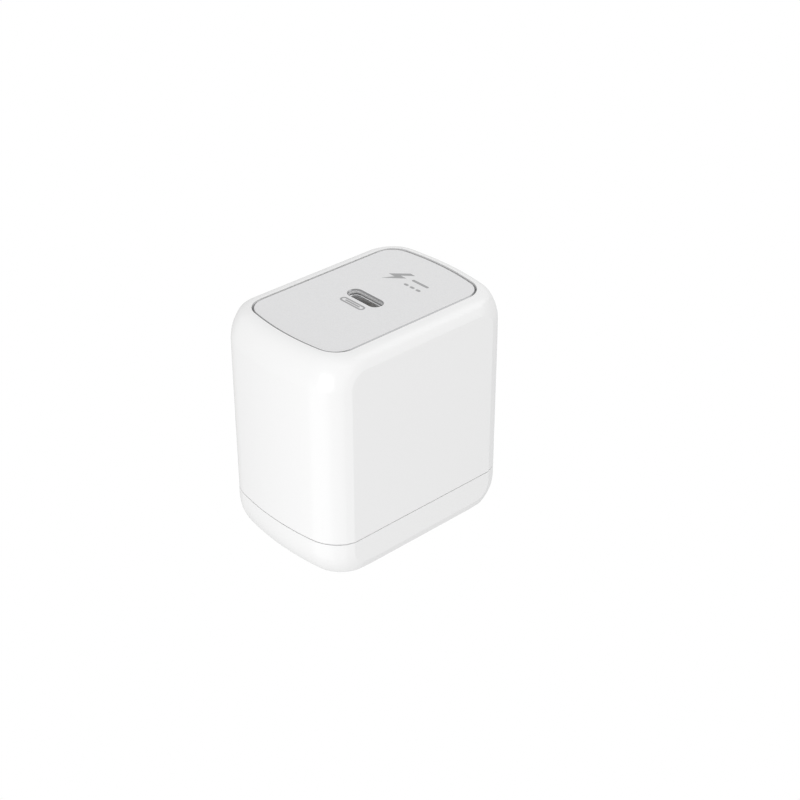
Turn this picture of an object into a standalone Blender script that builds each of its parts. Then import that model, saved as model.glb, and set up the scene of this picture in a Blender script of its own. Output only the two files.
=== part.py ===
"""Compact mains power adapter: one type-C port on top, a folding two-blade plug in the base.

X is the short way across, Y the long way and Z is up. The origin is the middle of the base.
Lengths are written in millimetres and turned into metres by MM.
"""

import math

import bmesh
import bpy
from mathutils import Vector

MM = 0.001
GAP = 0.3 * MM  # clearance between neighbouring pieces
OVERSHOOT = 1.0 * MM  # how far a cutter runs past the face that it opens
OVERLAP = 0.5 * MM  # how far joined solids run into each other
FAR = 40.0 * MM  # past the whole adapter

# Outer body. Its ends bow outwards: y = HALF_LENGTH - END_BOW * x * x
CROWN_HEIGHT = 49.55 * MM  # the top's flat, nearly all of which the plate's recess takes away
HALF_WIDTH = 17.5 * MM
HALF_LENGTH = 24.8 * MM
END_BOW = 8.2
CORNER_RADIUS = 8.2 * MM
SEAM_HEIGHT = 8.88 * MM
WALL = 1.8 * MM
TOP_WALL = 1.8 * MM

# Flat side panels with a chamfer all round
PANEL_X = 17.0 * MM
PANEL_HALF_LENGTH = 18.3 * MM
PANEL_BOTTOM = 3.0 * MM
PANEL_TOP = 46.5 * MM
PANEL_CORNER = 3.5 * MM
CHAMFER_WIDTH = 1.6 * MM
CHAMFER_SLOPE = math.tan(math.radians(20.8))
CHAMFER_RUN = 12.0 * MM  # long enough for the chamfer to run out of the body
CHAMFER_EDGE_X = PANEL_X - CHAMFER_SLOPE * CHAMFER_WIDTH

# Fillets into the top and the base: where they start from the flat in X, how far they reach and drop
# in Y, and the corner radius of that flat
SIDE_TILT = math.radians(28)  # the fillets' slope where the chamfer meets them
TOP_EDGE_X, TOP_REACH_Y, TOP_DROP_Y, TOP_CORNER = 11.7 * MM, 4.1 * MM, 7.7 * MM, 3.2 * MM
BASE_EDGE_X, BASE_REACH_Y, BASE_DROP_Y, BASE_CORNER = 12.3 * MM, 4.3 * MM, 6.7 * MM, 2.7 * MM

# Top plate
PLATE_HALF_WIDTH = 13.35 * MM
PLATE_HALF_LENGTH = 20.45 * MM
PLATE_BOW = 9.25
PLATE_CORNER = 4.7 * MM
PLATE_TOP = 49.32 * MM
PLATE_THICKNESS = 0.8 * MM
PLATE_CHAMFER = 0.25 * MM
PLATE_FIT = 0.15 * MM

# Type-C port: half sizes of its slot-shaped sections
PORT_OPENING = (4.17 * MM, 1.28 * MM)
PORT_SHELL = (4.47 * MM, 1.6 * MM)
PORT_RIM = (4.6 * MM, 1.5 * MM)
PORT_THROAT_FIT = 0.05 * MM
PORT_DEPTH = 7.1 * MM

# Folding plug: flat blades on a carrier that turns about X
HINGE_Y = 10.0 * MM
HINGE_Z = 3.9 * MM
BLADE_PITCH = 12.7 * MM
BLADE_WIDTH = 6.35 * MM
BLADE_THICKNESS = 1.5 * MM
BLADE_REACH = 21.4 * MM
BLADE_SHOULDER = 3.9 * MM
SHANK_WIDTH = 3.4 * MM
TAIL_REACH = 5.0 * MM
CARRIER_RADIUS = 3.7 * MM
CARRIER_FLAT = 3.4 * MM
CARRIER_HALF_LENGTH = 9.6 * MM
STUB_RADIUS = 1.6 * MM
STUB_END = 11.6 * MM
RUNNING_FIT = 0.15 * MM

# Base cap
FLOOR = 1.8 * MM
LIP_TOP = 11.5 * MM
LIP_WALL = 1.2 * MM
BAY_TOP = 9.0 * MM

# Main board, which stands up against the -X side
BOARD_BACK = -13.0 * MM
BOARD_FRONT = -11.8 * MM
BOARD_HALF_LENGTH = 19.2 * MM
BOARD_BOTTOM = 13.0 * MM
BOARD_TOP = 45.0 * MM

WHITE = (0.86, 0.86, 0.86)
BOARD_GREEN = (0.02, 0.16, 0.07)
FERRITE = (0.05, 0.05, 0.055)
MOUNT_GAP = 0.4 * MM  # between the main board and what lies against it

CORNER_STEPS = 7
BOW_STEPS = 3
ELLIPSE_STEPS = 5
WIDE_STEPS = 3
ROUND_STEPS = 24


def clear_scene():
    for obj in list(bpy.data.objects):
        bpy.data.objects.remove(obj, do_unlink=True)


def mm(*values):
    return tuple(value * MM for value in values)


def coat(obj, colour, roughness, metallic=0.0):
    """Gives the object a material of its own."""
    material = bpy.data.materials.new(obj.name)
    material.use_nodes = True
    surface = material.node_tree.nodes["Principled BSDF"]
    surface.inputs["Base Color"].default_value = (*colour, 1.0)
    surface.inputs["Roughness"].default_value = roughness
    surface.inputs["Metallic"].default_value = metallic
    obj.data.materials.clear()
    obj.data.materials.append(material)
    return obj


def object_from(name, bm, location=(0.0, 0.0, 0.0), smooth=False):
    bmesh.ops.recalc_face_normals(bm, faces=bm.faces)
    mesh = bpy.data.meshes.new(name)
    bm.to_mesh(mesh)
    bm.free()
    if smooth:
        mesh.shade_smooth()
        mesh.set_sharp_from_angle(angle=math.radians(35))
    obj = bpy.data.objects.new(name, mesh)
    obj.location = location
    bpy.context.scene.collection.objects.link(obj)
    return obj


def loft(name, loops, location=(0.0, 0.0, 0.0), smooth=False):
    """A closed skin through loops that have the same number of points, capped at both ends."""
    bm = bmesh.new()
    rings = [[bm.verts.new(point) for point in loop] for loop in loops]
    for lower, upper in zip(rings, rings[1:]):
        for i in range(len(lower)):
            j = (i + 1) % len(lower)
            bm.faces.new((lower[i], lower[j], upper[j], upper[i]))
    bm.faces.new(reversed(rings[0]))
    bm.faces.new(rings[-1])
    return object_from(name, bm, location, smooth)


def block(name, low, high, bevel=0.0):
    """A box between two corners, with its origin in the middle."""
    low, high = Vector(low), Vector(high)
    bm = bmesh.new()
    bmesh.ops.create_cube(bm, size=1.0)
    bmesh.ops.scale(bm, vec=high - low, verts=bm.verts)
    obj = object_from(name, bm, (low + high) / 2)
    if bevel:
        round_edges(obj, bevel)
    return obj


def rod(name, start, end, radius, bevel=0.0, steps=ROUND_STEPS):
    """A round bar between two points, with its origin in the middle."""
    start, end = Vector(start), Vector(end)
    run = end - start
    bm = bmesh.new()
    bmesh.ops.create_cone(
        bm, cap_ends=True, segments=steps, radius1=radius, radius2=radius, depth=run.length
    )
    bmesh.ops.rotate(bm, matrix=run.to_track_quat("Z", "Y").to_matrix(), verts=bm.verts)
    obj = object_from(name, bm, (start + end) / 2, smooth=True)
    if bevel:
        round_edges(obj, bevel)
    return obj


def extruded_x(name, outline, x_low, x_high, location=(0.0, 0.0, 0.0)):
    """An outline of (y, z) points, extruded along X."""
    loops = [[(x, y, z) for y, z in outline] for x in (x_low, x_high)]
    return loft(name, loops, location)


def round_edges(obj, width, segments=1):
    bevel = obj.modifiers.new("edges", "BEVEL")
    bevel.width = width
    bevel.segments = segments
    bevel.limit_method = "ANGLE"
    bevel.angle_limit = math.radians(40)


def boolean(obj, other, operation):
    """Cuts, joins or intersects obj with a helper that stays out of renders."""
    other.hide_render = True
    other.display_type = "WIRE"
    modifier = obj.modifiers.new(other.name, "BOOLEAN")
    modifier.operation = operation
    modifier.solver = "EXACT"
    modifier.object = other


def cut(obj, *others):
    for other in others:
        boolean(obj, other, "DIFFERENCE")


def join(obj, *others):
    for other in others:
        boolean(obj, other, "UNION")


def arc(centre, radius, start, end, steps):
    """Points on a circular arc; the angles are in radians."""
    angles = [start + (end - start) * i / steps for i in range(steps + 1)]
    return [(centre[0] + radius * math.cos(a), centre[1] + radius * math.sin(a)) for a in angles]


def bowed_outline(half_width, half_length, corner, bow):
    """A rectangle with straight long sides, bowed ends and round corners, anticlockwise from +X."""
    x = half_width
    for _ in range(20):
        slope = 2 * bow * x
        normal = Vector((slope, 1.0)).normalized()
        x = half_width - corner + corner * normal.x
    centre = (half_width - corner, half_length - bow * x * x - corner * normal.y)
    quarter = arc(centre, corner, 0.0, math.atan2(normal.y, normal.x), CORNER_STEPS)
    bow_xs = [x * (1 - i / BOW_STEPS) for i in range(1, BOW_STEPS)]
    quarter += [(bx, half_length - bow * bx * bx) for bx in bow_xs]
    upper = quarter + [(0.0, half_length)] + [(-px, py) for px, py in reversed(quarter)]
    return upper + [(-px, -py) for px, py in upper]


def slot_outline(half_x, half_y):
    """A slot shape: straight along X with round ends."""
    centre = half_x - half_y
    right = arc((centre, 0.0), half_y, -math.pi / 2, math.pi / 2, CORNER_STEPS)
    left = arc((-centre, 0.0), half_y, math.pi / 2, 3 * math.pi / 2, CORNER_STEPS)
    return right + left


def at_height(outline, z):
    return [(x, y, z) for x, y in outline]


def side_profile(edge_x, drop):
    """(depth, half width) down a long side: an ellipse from the flat to the chamfer, then a wide arc.

    The ellipse leaves the flat at edge_x and has turned to SIDE_TILT by the chamfer's edge, drop below.
    """
    reach = CHAMFER_EDGE_X - edge_x
    ratio = math.tan(SIDE_TILT) * drop / reach
    sine = ratio / (1 - ratio)
    start = math.asin(sine)
    half_x, half_z = reach / math.cos(start), drop / (1 - sine)
    profile = []
    for i in range(ELLIPSE_STEPS + 1):
        angle = math.pi / 2 + (start - math.pi / 2) * i / ELLIPSE_STEPS
        profile.append((half_z * (1 - math.sin(angle)), edge_x + half_x * math.cos(angle)))
    wide = (HALF_WIDTH - CHAMFER_EDGE_X) / (1 - math.cos(SIDE_TILT))
    for i in range(1, WIDE_STEPS + 1):
        angle = SIDE_TILT * (1 - i / WIDE_STEPS)
        depth = drop + wide * (math.sin(SIDE_TILT) - math.sin(angle))
        profile.append((depth, HALF_WIDTH - wide * (1 - math.cos(angle))))
    return profile


def fillet_sections(edge_x, side_drop, reach_y, drop_y, edge_corner):
    """(depth, outline) of the body's sections from the flat top or base down to the full section."""
    profile = side_profile(edge_x, side_drop) + [(drop_y, HALF_WIDTH)]
    sections = []
    for depth, half_width in profile:
        rise = 1 - min(depth / drop_y, 1.0)
        inset = 1 - math.sqrt(1 - rise * rise)
        corner = CORNER_RADIUS + (edge_corner - CORNER_RADIUS) * inset * inset
        sections.append((depth, bowed_outline(half_width, HALF_LENGTH - reach_y * inset, corner, END_BOW)))
    return sections


def body_form(name):
    """The whole outer form, top and base together, before it is parted at the seam."""
    base_drop = PANEL_BOTTOM - CHAMFER_WIDTH
    top_drop = CROWN_HEIGHT - PANEL_TOP - CHAMFER_WIDTH
    base = fillet_sections(BASE_EDGE_X, base_drop, BASE_REACH_Y, BASE_DROP_Y, BASE_CORNER)
    top = fillet_sections(TOP_EDGE_X, top_drop, TOP_REACH_Y, TOP_DROP_Y, TOP_CORNER)
    loops = [at_height(outline, depth) for depth, outline in base]
    loops += [at_height(outline, CROWN_HEIGHT - depth) for depth, outline in reversed(top)]
    obj = loft(name, loops, smooth=True)
    boolean(obj, panel_form(name + "_sides"), "INTERSECT")
    return obj


def panel_form(name):
    """A solid with the flat side panels and their chamfers, wider than the body everywhere else."""
    middle = (PANEL_BOTTOM + PANEL_TOP) / 2

    def ring(x, offset):
        half_y = PANEL_HALF_LENGTH + offset
        half_z = PANEL_TOP - middle + offset
        radius = PANEL_CORNER + offset
        points = []
        for quadrant, (side_y, side_z) in enumerate(((1, 1), (-1, 1), (-1, -1), (1, -1))):
            centre = (side_y * (half_y - radius), middle + side_z * (half_z - radius))
            start = quadrant * math.pi / 2
            points += arc(centre, radius, start, start + math.pi / 2, CORNER_STEPS)
        return [(x, y, z) for y, z in points]

    inner_x = PANEL_X - CHAMFER_SLOPE * CHAMFER_RUN
    rings = [ring(-PANEL_X, 0.0), ring(-inner_x, CHAMFER_RUN), ring(inner_x, CHAMFER_RUN), ring(PANEL_X, 0.0)]
    return loft(name, rings)


def inner_outline(inset):
    return bowed_outline(PANEL_X - inset, HALF_LENGTH - inset, CORNER_RADIUS - inset, END_BOW)


def main_housing():
    obj = body_form("main_housing")
    cut(obj, block("below_seam", (-FAR, -FAR, -FAR), (FAR, FAR, SEAM_HEIGHT + GAP / 2)))
    recess_floor = PLATE_TOP - PLATE_THICKNESS - GAP
    ceiling = recess_floor - TOP_WALL
    corner_cut = 1.0 * MM
    hollow = [
        at_height(inner_outline(WALL), 0.0),
        at_height(inner_outline(WALL), ceiling - 2 * corner_cut),
        at_height(inner_outline(WALL + 0.3 * corner_cut), ceiling - 0.7 * corner_cut),
        at_height(inner_outline(WALL + corner_cut), ceiling),
    ]
    cut(obj, loft("housing_hollow", hollow))
    recess = bowed_outline(
        PLATE_HALF_WIDTH + PLATE_FIT,
        PLATE_HALF_LENGTH + PLATE_FIT,
        PLATE_CORNER + PLATE_FIT,
        PLATE_BOW,
    )
    recess_ends = [at_height(recess, recess_floor), at_height(recess, CROWN_HEIGHT + OVERSHOOT)]
    cut(obj, loft("plate_recess", recess_ends))
    hole = slot_outline(PORT_SHELL[0] + GAP, PORT_SHELL[1] + GAP)
    hole_ends = [at_height(hole, ceiling - OVERSHOOT), at_height(hole, recess_floor + OVERSHOOT)]
    cut(obj, loft("port_hole", hole_ends))
    return coat(obj, WHITE, 0.35)


def top_plate():
    base = PLATE_TOP - PLATE_THICKNESS
    full = bowed_outline(PLATE_HALF_WIDTH, PLATE_HALF_LENGTH, PLATE_CORNER, PLATE_BOW)
    small = bowed_outline(
        PLATE_HALF_WIDTH - PLATE_CHAMFER,
        PLATE_HALF_LENGTH - PLATE_CHAMFER,
        PLATE_CORNER - PLATE_CHAMFER,
        PLATE_BOW,
    )
    loops = [at_height(full, base), at_height(full, PLATE_TOP - PLATE_CHAMFER), at_height(small, PLATE_TOP)]
    obj = loft("top_plate", loops)
    throat = slot_outline(PORT_OPENING[0] + PORT_THROAT_FIT, PORT_OPENING[1] + PORT_THROAT_FIT)
    rim = slot_outline(*PORT_RIM)
    wide = slot_outline(PORT_RIM[0] + OVERSHOOT, PORT_RIM[1] + OVERSHOOT)
    loops = [
        at_height(throat, base - OVERSHOOT),
        at_height(throat, PLATE_TOP - PLATE_CHAMFER),
        at_height(rim, PLATE_TOP),
        at_height(wide, PLATE_TOP + OVERSHOOT),
    ]
    cut(obj, loft("plate_port_cut", loops))
    return coat(obj, (0.55, 0.55, 0.56), 0.4)


def port():
    """The receptacle: a drawn steel shell open at the mouth, and a moulded tongue standing in it."""
    mouth = PLATE_TOP - PLATE_THICKNESS - GAP
    back = mouth - PORT_DEPTH
    outer = slot_outline(*PORT_SHELL)
    shell = loft("port_shell", [at_height(outer, back), at_height(outer, mouth)], smooth=True)
    inner = slot_outline(*PORT_OPENING)
    bore_ends = [at_height(inner, back - OVERSHOOT), at_height(inner, mouth + OVERSHOOT)]
    cut(shell, loft("port_bore", bore_ends))
    coat(shell, (0.6, 0.6, 0.62), 0.3, 1.0)

    plug_fit, plug_height, setback = mm(0.17, 1.6, 0.6)
    plug = slot_outline(PORT_OPENING[0] - plug_fit, PORT_OPENING[1] - plug_fit)
    plug_top = back + plug_height
    tongue = loft("port_tongue", [at_height(plug, back), at_height(plug, plug_top)])
    half_x, half_y = mm(3.35, 0.35)
    blade_low = (-half_x, -half_y, plug_top - OVERLAP)
    join(tongue, block("tongue_blade", blade_low, (half_x, half_y, mouth - setback)))
    coat(tongue, (0.03, 0.03, 0.03), 0.5)

    x_low, x_high, z_low, z_high, thickness = mm(-11.4, 12.2, 31.0, 45.6, 1.0)
    board_y = -PORT_SHELL[1] - GAP
    board = block("port_board", (x_low, board_y - thickness, z_low), (x_high, board_y, z_high))
    coat(board, BOARD_GREEN, 0.45)


def base_cap():
    obj = body_form("base_cap")
    cut(obj, block("above_seam", (-FAR, -FAR, SEAM_HEIGHT - GAP / 2), (FAR, FAR, 2 * FAR)))
    lip_root, floor_middle, inside_top = 4.0 * MM, 1.0 * MM, LIP_TOP + OVERSHOOT
    lip = inner_outline(WALL + GAP)
    join(obj, loft("cap_lip", [at_height(lip, lip_root), at_height(lip, LIP_TOP)]))
    hollow = inner_outline(WALL + GAP + LIP_WALL)
    cut(obj, loft("cap_hollow", [at_height(hollow, FLOOR), at_height(hollow, inside_top)]))

    # Walls round the carrier, wells over the folded blades and a thick floor under the finger scoop
    bay_x, bay_half = mm(12.2, 5.6)
    bay_low = (-bay_x, HINGE_Y - bay_half, floor_middle)
    join(obj, block("bay", bay_low, (bay_x, HINGE_Y + bay_half, BAY_TOP)))
    end_room, top_room, tail_room = mm(0.9, 0.4, 7.0)
    slot_half = BLADE_THICKNESS / 2 + GAP
    slot_end = HINGE_Y - BLADE_REACH - end_room
    slot_top = HINGE_Z + BLADE_WIDTH / 2 + top_room
    well_half = slot_half + LIP_WALL
    for side, name in ((-1, "left"), (1, "right")):
        x = side * BLADE_PITCH / 2
        well_low = (x - well_half, slot_end - LIP_WALL, floor_middle)
        well_high = (x + well_half, HINGE_Y - bay_half + OVERSHOOT, slot_top + LIP_WALL)
        join(obj, block(f"well_{name}", well_low, well_high))
    join(obj, block("scoop_floor", mm(-10.7, -18.6, 1.0), mm(10.7, -6.4, 4.0)))

    pocket_x = CARRIER_HALF_LENGTH + GAP
    pocket_y = CARRIER_RADIUS + top_room
    pocket_low = (-pocket_x, HINGE_Y - pocket_y, -OVERSHOOT)
    cut(obj, block("pocket", pocket_low, (pocket_x, HINGE_Y + pocket_y, inside_top)))
    saddle = STUB_RADIUS + RUNNING_FIT
    saddle_x = 12.6 * MM
    saddle_low = (-saddle_x, HINGE_Y - saddle, HINGE_Z)
    cut(obj, block("saddle_slot", saddle_low, (saddle_x, HINGE_Y + saddle, inside_top)))
    cut(obj, rod("saddle_round", (-saddle_x, HINGE_Y, HINGE_Z), (saddle_x, HINGE_Y, HINGE_Z), saddle))
    for side, name in ((-1, "left"), (1, "right")):
        x = side * BLADE_PITCH / 2
        low, high = x - slot_half, x + slot_half
        cut(obj, block(f"blade_slot_{name}", (low, slot_end, -OVERSHOOT), (high, HINGE_Y, slot_top)))
        tail_high = (high, HINGE_Y + tail_room, inside_top)
        cut(obj, block(f"tail_slot_{name}", (low, HINGE_Y, FLOOR), tail_high))
    scoop_x, scoop_y, scoop_z, scoop_radius = mm(9.5, -12.5, -3.6, 6.0)
    scoop_ends = (-scoop_x, scoop_y, scoop_z), (scoop_x, scoop_y, scoop_z)
    cut(obj, rod("scoop", *scoop_ends, scoop_radius, steps=32))
    return coat(obj, WHITE, 0.35)


def folding_plug():
    """Two blades moulded into a carrier. Their parent empty lies on the hinge axis."""
    hinge = bpy.data.objects.new("plug_hinge", None)
    hinge.location = (0.0, HINGE_Y, HINGE_Z)
    bpy.context.scene.collection.objects.link(hinge)

    carrier = rod("blade_carrier", (-CARRIER_HALF_LENGTH, 0, 0), (CARRIER_HALF_LENGTH, 0, 0), CARRIER_RADIUS)
    stub_root = CARRIER_HALF_LENGTH - OVERLAP
    for side, name in ((-1, "left"), (1, "right")):
        join(carrier, rod(f"stub_{name}", (side * stub_root, 0, 0), (side * STUB_END, 0, 0), STUB_RADIUS))
    cut(carrier, block("flat_folded", (-FAR, -FAR, -FAR), (FAR, FAR, -CARRIER_FLAT)))
    cut(carrier, block("flat_open", (-FAR, -FAR, -FAR), (FAR, -CARRIER_FLAT, FAR)))
    shank = SHANK_WIDTH / 2
    wide = BLADE_WIDTH / 2
    tip = 1.5 * MM
    outline = [
        (TAIL_REACH, -shank),
        (TAIL_REACH, shank),
        (-BLADE_SHOULDER, shank),
        (-BLADE_SHOULDER, wide),
        (tip - BLADE_REACH, wide),
        (-BLADE_REACH, wide - tip),
        (-BLADE_REACH, tip - wide),
        (tip - BLADE_REACH, -wide),
        (-BLADE_SHOULDER, -wide),
        (-BLADE_SHOULDER, -shank),
    ]
    half = BLADE_THICKNESS / 2
    for side, name in ((-1, "left"), (1, "right")):
        x = side * BLADE_PITCH / 2
        fit = half + RUNNING_FIT
        height = shank + RUNNING_FIT
        cut(carrier, block(f"shank_hole_{name}", (x - fit, -FAR, -height), (x + fit, FAR, height)))
        blade = extruded_x(f"blade_{name}", outline, -half, half, (x, 0.0, 0.0))
        round_edges(blade, 0.2 * MM)
        blade.parent = hinge
        coat(blade, (0.75, 0.74, 0.72), 0.25, 1.0)
    carrier.parent = hinge
    coat(carrier, (0.8, 0.8, 0.8), 0.4)
    # The carrier's helpers share its frame, so they hang on the hinge too
    for modifier in carrier.modifiers:
        modifier.object.parent = hinge


def carrier_retainer():
    """A bridge over the bay whose feet keep the carrier's stubs down in their saddles."""
    half_x, half_y, thickness = mm(12.0, 5.4, 1.2)
    low_z = BAY_TOP + GAP
    high_z = low_z + thickness
    obj = block("carrier_retainer", (-half_x, HINGE_Y - half_y, low_z), (half_x, HINGE_Y + half_y, high_z))
    foot_x = mm(10.2, 11.9)
    foot_y = 1.4 * MM
    foot_z = HINGE_Z + STUB_RADIUS + GAP
    notch_half, notch_front, notch_back = mm(1.6, 3.0, 9.0)
    for side, name in ((-1, "left"), (1, "right")):
        xs = sorted((side * foot_x[0], side * foot_x[1]))
        foot_high = (xs[1], HINGE_Y + foot_y, low_z + OVERLAP)
        join(obj, block(f"foot_{name}", (xs[0], HINGE_Y - foot_y, foot_z), foot_high))
        x = side * BLADE_PITCH / 2
        notch_low = (x - notch_half, HINGE_Y - notch_front, low_z - OVERSHOOT)
        notch_high = (x + notch_half, HINGE_Y + notch_back, high_z + OVERSHOOT)
        cut(obj, block(f"notch_{name}", notch_low, notch_high))
    return coat(obj, (0.75, 0.75, 0.73), 0.5)


def contact_springs():
    """Leaf springs over the blades' tails; each turns up behind the bay to meet its lead."""
    leaf, seat = mm(0.3, 0.05)
    low_z = BAY_TOP + GAP + seat
    front, back, top = mm(8.5, 17.6, 13.5)
    outline = [
        (front, low_z),
        (back, low_z),
        (back, top),
        (back - leaf, top),
        (back - leaf, low_z + leaf),
        (front, low_z + leaf),
    ]
    half = 1.2 * MM
    for side, name in ((-1, "left"), (1, "right")):
        obj = extruded_x(f"contact_spring_{name}", outline, -half, half, (side * BLADE_PITCH / 2, 0.0, 0.0))
        coat(obj, (0.72, 0.45, 0.25), 0.35, 1.0)


def lead(name, points, radius, colour):
    """An insulated wire through the given points."""
    curve = bpy.data.curves.new(name, "CURVE")
    curve.dimensions = "3D"
    curve.bevel_depth = radius
    curve.bevel_resolution = 2
    curve.use_fill_caps = True
    curve.resolution_u = 4
    spline = curve.splines.new("BEZIER")
    spline.bezier_points.add(len(points) - 1)
    for knot, point in zip(spline.bezier_points, points):
        knot.co = point
        knot.handle_left_type = knot.handle_right_type = "AUTO"
    obj = bpy.data.objects.new(name, curve)
    bpy.context.scene.collection.objects.link(obj)
    return coat(obj, colour, 0.5)


def input_leads():
    start_x = BLADE_PITCH / 2
    end_x = BOARD_FRONT + MOUNT_GAP
    right = [(start_x, *mm(18.5, 12.4)), mm(3, 18.6, 14.8), mm(-5, 18.6, 16.4), (end_x, *mm(18.4, 16.8))]
    left = [(-start_x, *mm(16.4, 12.2)), mm(-7.6, 16.3, 14.8), (end_x, *mm(16.2, 18.6))]
    lead("live_lead", right, 0.55 * MM, (0.02, 0.02, 0.02))
    lead("neutral_lead", left, 0.5 * MM, (0.7, 0.7, 0.7))


def main_board():
    low = (BOARD_BACK, -BOARD_HALF_LENGTH, BOARD_BOTTOM)
    obj = block("main_board", low, (BOARD_FRONT, BOARD_HALF_LENGTH, BOARD_TOP))
    return coat(obj, BOARD_GREEN, 0.45)


def transformer():
    """Two E-shaped ferrite halves round a bobbin wound about an axis along X."""
    y_low, y_high = mm(5.2, 20.2)
    z_low, z_high = mm(24.5, 43.5)
    y_mid, z_mid = (y_low + y_high) / 2, (z_low + z_high) / 2
    split = -3.15 * MM
    stand_off, x_high = mm(0.9, 4.6)
    x_low = BOARD_FRONT + stand_off
    plate, leg, post = mm(2.5, 3.0, 3.0)

    def core_half(name, outer, inner, side):
        """outer is the plate's far face and inner the ends of the legs; side points from outer to inner."""
        plate_end = outer + side * plate
        leg_start = plate_end - side * OVERLAP
        obj = block(name, (min(outer, plate_end), y_low, z_low), (max(outer, plate_end), y_high, z_high))
        for end, (z0, z1) in enumerate(((z_low, z_low + leg), (z_high - leg, z_high))):
            xs = sorted((leg_start, inner))
            join(obj, block(f"{name}_leg_{end}", (xs[0], y_low, z0), (xs[1], y_high, z1)))
        join(obj, rod(f"{name}_post", (leg_start, y_mid, z_mid), (inner, y_mid, z_mid), post))
        return coat(obj, FERRITE, 0.6)

    core_half("transformer_core_lower", x_low, split - GAP / 2, 1)
    core_half("transformer_core_upper", x_high, split + GAP / 2, -1)

    def round_x(name, x0, x1, radius):
        return rod(name, (x0, y_mid, z_mid), (x1, y_mid, z_mid), radius)

    bobbin_low, bobbin_high = x_low + plate + GAP, x_high - plate - GAP
    flange, flange_radius, barrel, wound_bore, inset = mm(0.7, 6.0, 0.9, 1.2, 0.2)
    bobbin = round_x("transformer_bobbin", bobbin_low, bobbin_high, post + barrel)
    join(bobbin, round_x("flange_lower", bobbin_low, bobbin_low + flange, flange_radius))
    join(bobbin, round_x("flange_upper", bobbin_high - flange, bobbin_high, flange_radius))
    cut(bobbin, round_x("bobbin_bore", bobbin_low - OVERSHOOT, bobbin_high + OVERSHOOT, post + GAP))
    coat(bobbin, (0.06, 0.06, 0.07), 0.5)

    winding_low, winding_high = bobbin_low + flange + GAP, bobbin_high - flange - GAP
    winding = round_x("transformer_winding", winding_low, winding_high, flange_radius - inset)
    bore_ends = winding_low - OVERSHOOT, winding_high + OVERSHOOT
    cut(winding, round_x("winding_bore", *bore_ends, post + wound_bore))
    coat(winding, (0.75, 0.6, 0.15), 0.45)


def bulk_capacitors():
    """Three high-voltage electrolytic cans lying side by side against the board."""
    radius, length, pitch, lowest = mm(5.0, 20.0, 10.6, 17.8)
    y = -9.2 * MM
    start = BOARD_FRONT + MOUNT_GAP
    for i in range(3):
        z = lowest + i * pitch
        obj = rod(f"bulk_capacitor_{i + 1}", (start, y, z), (start + length, y, z), radius, bevel=0.6 * MM)
        coat(obj, (0.04, 0.05, 0.09), 0.4)


def ring_segment(name, centre, radii, x_low, x_high, start, end, hollow=None):
    """Part of a ring about X. hollow is (inner radii, x low, x high) for a channel along it."""
    steps = 10
    bm = bmesh.new()

    def section(angle, radii, x0, x1):
        corners = [(radii[0], x0), (radii[1], x0), (radii[1], x1), (radii[0], x1)]
        return [
            bm.verts.new((x, centre[0] + r * math.cos(angle), centre[1] + r * math.sin(angle)))
            for r, x in corners
        ]

    outer, inner = [], []
    for i in range(steps + 1):
        angle = start + (end - start) * i / steps
        outer.append(section(angle, radii, x_low, x_high))
        if hollow:
            inner.append(section(angle, *hollow))
    for rings, flip in ((outer, False), (inner, True)):
        for a, b in zip(rings, rings[1:]):
            for i in range(4):
                j = (i + 1) % 4
                quad = (a[i], a[j], b[j], b[i])
                bm.faces.new(quad[::-1] if flip else quad)
    for end_index in (0, -1):
        if hollow:
            for i in range(4):
                j = (i + 1) % 4
                ring = (outer[end_index][i], outer[end_index][j], inner[end_index][j], inner[end_index][i])
                bm.faces.new(ring)
        else:
            bm.faces.new(outer[end_index])
    return object_from(name, bm, smooth=True)


def common_mode_choke():
    """A ferrite ring with a winding round each half."""
    centre = mm(9.3, 17.6)
    core_radii = mm(2.8, 4.8)
    x_low, x_high = mm(-10.4, -5.6)
    core = rod("choke_core", (x_low, *centre), (x_high, *centre), core_radii[1])
    bore_ends = (x_low - OVERSHOOT, *centre), (x_high + OVERSHOOT, *centre)
    cut(core, rod("choke_core_bore", *bore_ends, core_radii[0]))
    coat(core, FERRITE, 0.6)
    wire = 0.6 * MM
    channel = (core_radii[0] - GAP, core_radii[1] + GAP)
    radii = (channel[0] - wire, channel[1] + wire)
    hollow = (channel, x_low - GAP, x_high + GAP)
    for name, start in (("upper", 20), ("lower", 200)):
        angles = math.radians(start), math.radians(start + 140)
        obj = ring_segment(
            f"choke_winding_{name}", centre, radii, x_low - GAP - wire, x_high + GAP + wire, *angles, hollow
        )
        coat(obj, (0.7, 0.3, 0.1), 0.35)


def filter_parts():
    """The other parts between the blades' leads and the rectifier."""
    front = BOARD_FRONT + MOUNT_GAP
    inductor = rod(
        "filter_inductor", (front, *mm(-0.2, 17.2)), mm(-1.4, -0.2, 17.2), 3.5 * MM, bevel=0.5 * MM
    )
    coat(inductor, (0.04, 0.04, 0.04), 0.5)
    x_capacitor = block("x_capacitor", (front, *mm(-20.2, 14.0)), mm(-0.9, -14.7, 27.0), bevel=0.5 * MM)
    coat(x_capacitor, (0.75, 0.6, 0.1), 0.4)
    y_capacitor = rod("y_capacitor", mm(-6.4, -18.9, 33.6), mm(-6.4, -14.9, 33.6), 4.1 * MM, bevel=0.8 * MM)
    coat(y_capacitor, (0.1, 0.25, 0.6), 0.4)
    varistor = rod("varistor", mm(-6.4, -18.5, 41.4), mm(-6.4, -15.0, 41.4), 3.2 * MM, bevel=0.8 * MM)
    coat(varistor, (0.1, 0.1, 0.1), 0.5)
    fuse = rod("fuse", (front, *mm(18.4, 22.0)), mm(-3.4, 18.4, 22.0), 1.6 * MM, bevel=0.3 * MM)
    coat(fuse, (0.35, 0.2, 0.1), 0.4)


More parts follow.
